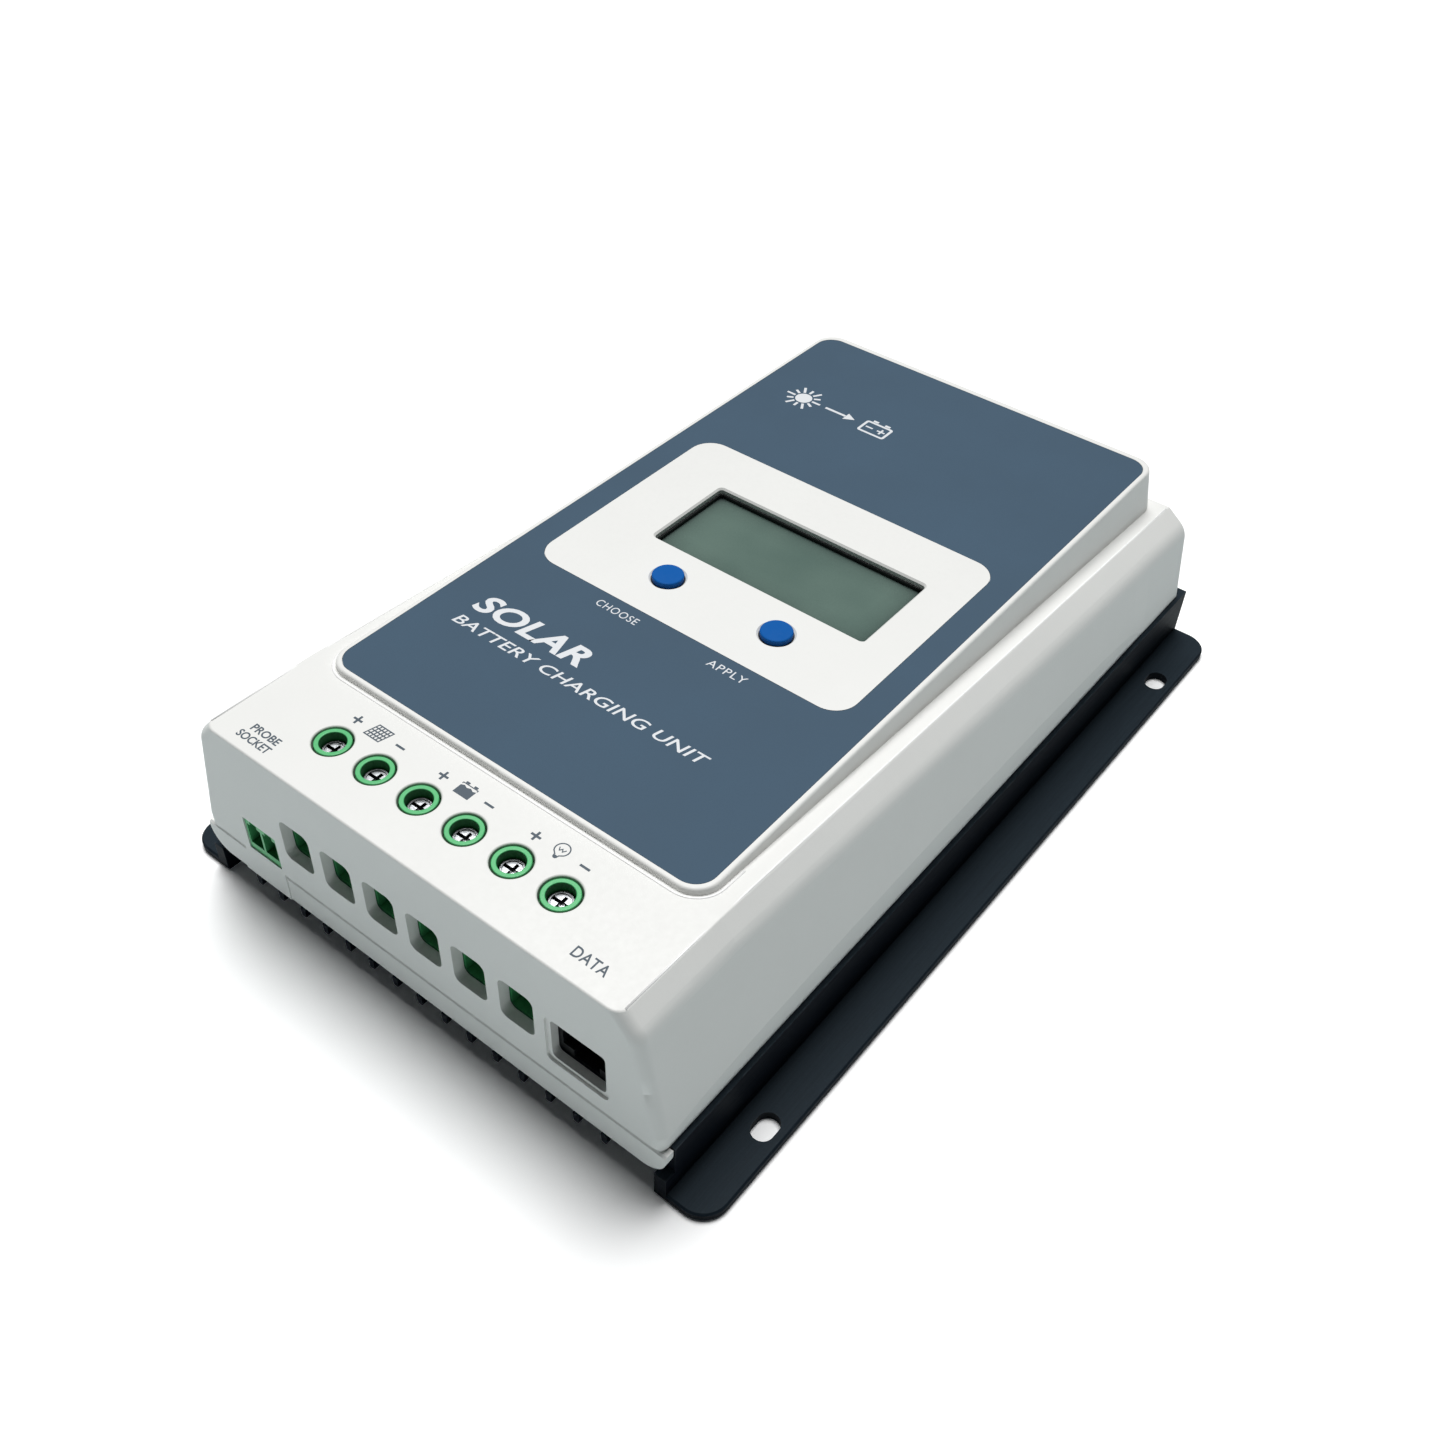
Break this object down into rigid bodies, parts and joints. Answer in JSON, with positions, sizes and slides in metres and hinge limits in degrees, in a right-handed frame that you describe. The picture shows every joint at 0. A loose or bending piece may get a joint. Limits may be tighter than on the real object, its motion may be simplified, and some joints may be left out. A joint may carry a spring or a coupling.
{
  "type": "solar charge controller",
  "caption": "Wall-mounted solar charge controller: finned heat-sink base with slotted side flanges, white cover, display, push buttons and screw clamp terminals under round wells.",
  "frame": {"origin": "centre of the base, on the wall side of the mounting flanges", "axes": "+Z away from the wall, +Y from the terminal end to the rear end, +X to the right when the terminal end faces the viewer"},
  "size_m": [0.154, 0.22, 0.0531],
  "materials": {
    "anodised_black": "satin black anodised",
    "cover_white": "fine satin",
    "label_blue_grey": "satin film",
    "display_grey_green": "matt polariser",
    "white_plastic": "satin",
    "button_blue": "satin",
    "board_green": "solder mask",
    "terminal_green": "satin",
    "zinc_steel": "zinc plated",
    "tinned_copper": "tin plated",
    "black_plastic": "satin",
    "gold_contact": "gold plated",
    "ribbon_grey": "satin",
    "ferrite_grey": "powder coated",
    "enamelled_copper": "enamelled",
    "capacitor_sleeve": "sleeve",
    "thermal_grey": "matt",
    "steel_black": "black oxide"
  },
  "bodies": {
    "controller": {"board_screws": "zinc_steel", "board_standoffs": "tinned_copper", "capacitor_1": "capacitor_sleeve", "capacitor_2": "capacitor_sleeve", "capacitor_3": "capacitor_sleeve", "control_chip": "black_plastic", "cover_screws": "zinc_steel", "data_contacts": "gold_contact", "data_jack": "black_plastic", "display_board": "board_green", "display_screws": "zinc_steel", "heat_sink": "anodised_black", "heat_sink_fins": "anodised_black", "inductor_base": "black_plastic", "inductor_core": "ferrite_grey", "inductor_winding": "enamelled_copper", "lcd_backlight": "white_plastic", "lcd_glass": "display_grey_green", "main_board": "board_green", "overlay_label": "label_blue_grey", "power_switch_1": "black_plastic", "power_switch_2": "black_plastic", "power_switch_3": "black_plastic", "probe_header": "terminal_green", "probe_pins": "tinned_copper", "ribbon_cable": "ribbon_grey", "ribbon_sockets": "white_plastic", "shunt_strap": "zinc_steel", "switch_case_left": "black_plastic", "switch_case_right": "black_plastic", "terminal_bar_1": "tinned_copper", "terminal_bar_2": "tinned_copper", "terminal_bar_3": "tinned_copper", "terminal_bar_4": "tinned_copper", "terminal_bar_5": "tinned_copper", "terminal_bar_6": "tinned_copper", "terminal_housing_1": "terminal_green", "terminal_housing_2": "terminal_green", "terminal_housing_3": "terminal_green", "terminal_housing_4": "terminal_green", "terminal_housing_5": "terminal_green", "terminal_housing_6": "terminal_green", "thermal_pad": "thermal_grey", "top_cover": "cover_white"},
    "left_button": {"button_left": "button_blue", "switch_plunger_left": "black_plastic"},
    "right_button": {"button_right": "button_blue", "switch_plunger_right": "black_plastic"},
    "screw_1": {"terminal_screw_1": "zinc_steel"},
    "cage_1": {"terminal_cage_1": "zinc_steel"},
    "screw_2": {"terminal_screw_2": "zinc_steel"},
    "cage_2": {"terminal_cage_2": "zinc_steel"},
    "screw_3": {"terminal_screw_3": "zinc_steel"},
    "cage_3": {"terminal_cage_3": "zinc_steel"},
    "screw_4": {"terminal_screw_4": "zinc_steel"},
    "cage_4": {"terminal_cage_4": "zinc_steel"},
    "screw_5": {"terminal_screw_5": "zinc_steel"},
    "cage_5": {"terminal_cage_5": "zinc_steel"},
    "screw_6": {"terminal_screw_6": "zinc_steel"},
    "cage_6": {"terminal_cage_6": "zinc_steel"}
  },
  "joints": [
    {"name": "left_button_press", "type": "slide", "parent": "controller", "child": "left_button", "axis": [0, 0, -1], "range_m": [0, 0.0008], "stiffness_N_per_m": 2000},
    {"name": "right_button_press", "type": "slide", "parent": "controller", "child": "right_button", "axis": [0, 0, -1], "range_m": [0, 0.0008], "stiffness_N_per_m": 2000},
    {"name": "screw_1_turn", "type": "hinge", "parent": "controller", "child": "screw_1", "pos_m": [-0.03255, -0.0963, 0.04], "axis": [0, 0, -1], "range_deg": [0, 2880]},
    {"name": "cage_1_lift", "type": "slide", "parent": "controller", "child": "cage_1", "axis": [0, 0, 1], "range_m": [0, 0.0056]},
    {"name": "screw_2_turn", "type": "hinge", "parent": "controller", "child": "screw_2", "pos_m": [-0.02005, -0.0963, 0.04], "axis": [0, 0, -1], "range_deg": [0, 2880]},
    {"name": "cage_2_lift", "type": "slide", "parent": "controller", "child": "cage_2", "axis": [0, 0, 1], "range_m": [0, 0.0056]},
    {"name": "screw_3_turn", "type": "hinge", "parent": "controller", "child": "screw_3", "pos_m": [-0.00755, -0.0963, 0.04], "axis": [0, 0, -1], "range_deg": [0, 2880]},
    {"name": "cage_3_lift", "type": "slide", "parent": "controller", "child": "cage_3", "axis": [0, 0, 1], "range_m": [0, 0.0056]},
    {"name": "screw_4_turn", "type": "hinge", "parent": "controller", "child": "screw_4", "pos_m": [0.00495, -0.0963, 0.04], "axis": [0, 0, -1], "range_deg": [0, 2880]},
    {"name": "cage_4_lift", "type": "slide", "parent": "controller", "child": "cage_4", "axis": [0, 0, 1], "range_m": [0, 0.0056]},
    {"name": "screw_5_turn", "type": "hinge", "parent": "controller", "child": "screw_5", "pos_m": [0.01745, -0.0963, 0.04], "axis": [0, 0, -1], "range_deg": [0, 2880]},
    {"name": "cage_5_lift", "type": "slide", "parent": "controller", "child": "cage_5", "axis": [0, 0, 1], "range_m": [0, 0.0056]},
    {"name": "screw_6_turn", "type": "hinge", "parent": "controller", "child": "screw_6", "pos_m": [0.02995, -0.0963, 0.04], "axis": [0, 0, -1], "range_deg": [0, 2880]},
    {"name": "cage_6_lift", "type": "slide", "parent": "controller", "child": "cage_6", "axis": [0, 0, 1], "range_m": [0, 0.0056]}
  ],
  "couplings": [
    {"joint": "screw_1_turn", "follows": "cage_1_lift", "rad_per_m": 8976},
    {"joint": "screw_2_turn", "follows": "cage_2_lift", "rad_per_m": 8976},
    {"joint": "screw_3_turn", "follows": "cage_3_lift", "rad_per_m": 8976},
    {"joint": "screw_4_turn", "follows": "cage_4_lift", "rad_per_m": 8976},
    {"joint": "screw_5_turn", "follows": "cage_5_lift", "rad_per_m": 8976},
    {"joint": "screw_6_turn", "follows": "cage_6_lift", "rad_per_m": 8976}
  ]
}
